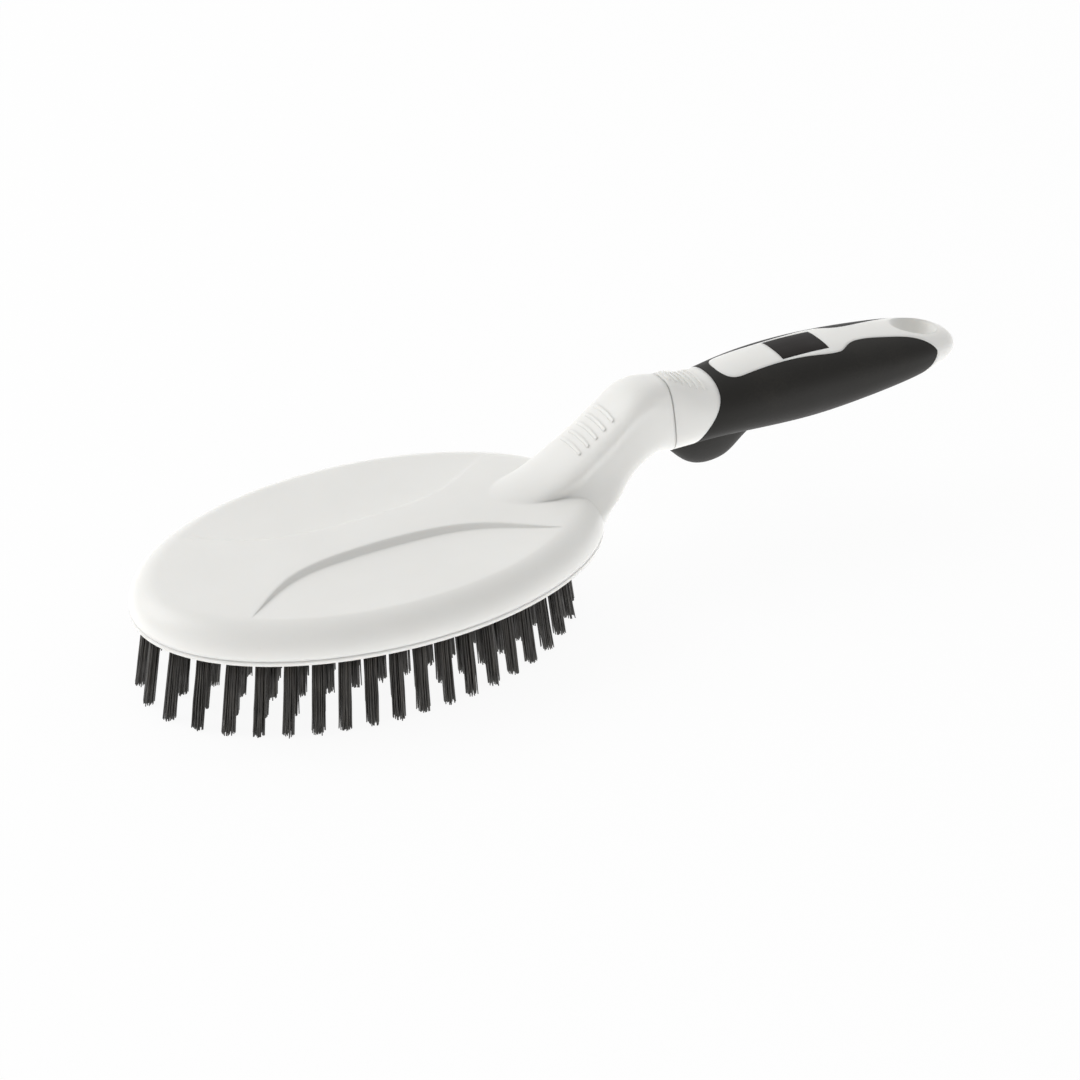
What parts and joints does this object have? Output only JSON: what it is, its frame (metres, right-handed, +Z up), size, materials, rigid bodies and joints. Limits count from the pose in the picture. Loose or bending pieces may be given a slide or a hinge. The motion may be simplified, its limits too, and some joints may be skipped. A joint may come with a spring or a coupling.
{
  "type": "oval hand brush",
  "caption": "Oval hand brush: a white oval head with rows of dark bristle tufts, a bent neck and a raised two-colour handle with a finger guard and a hanging hole.",
  "frame": {"origin": "middle of the whole box in plan, on the plane that the bristle tips stand on", "axes": "+X along the handle from the head to the tail, +Y across, +Z up from the bristle tips to the head"},
  "size_m": [0.2324, 0.0772, 0.0523],
  "materials": {
    "white_plastic": "satin",
    "plate_plastic": "satin",
    "staple_wire": "bright",
    "bristle_nylon": "matt",
    "grip_rubber": "matt",
    "badge_plastic": "satin"
  },
  "bodies": {
    "root": {"head_shell": "white_plastic", "bristle_plate": "plate_plastic", "tuft_staples": "staple_wire", "bristles_outer": "bristle_nylon", "bristles_second": "bristle_nylon", "bristles_third": "bristle_nylon", "bristles_inner": "bristle_nylon", "bristles_middle": "bristle_nylon", "handle_core": "white_plastic", "rubber_grip": "grip_rubber", "badge": "badge_plastic"}
  },
  "joints": []
}
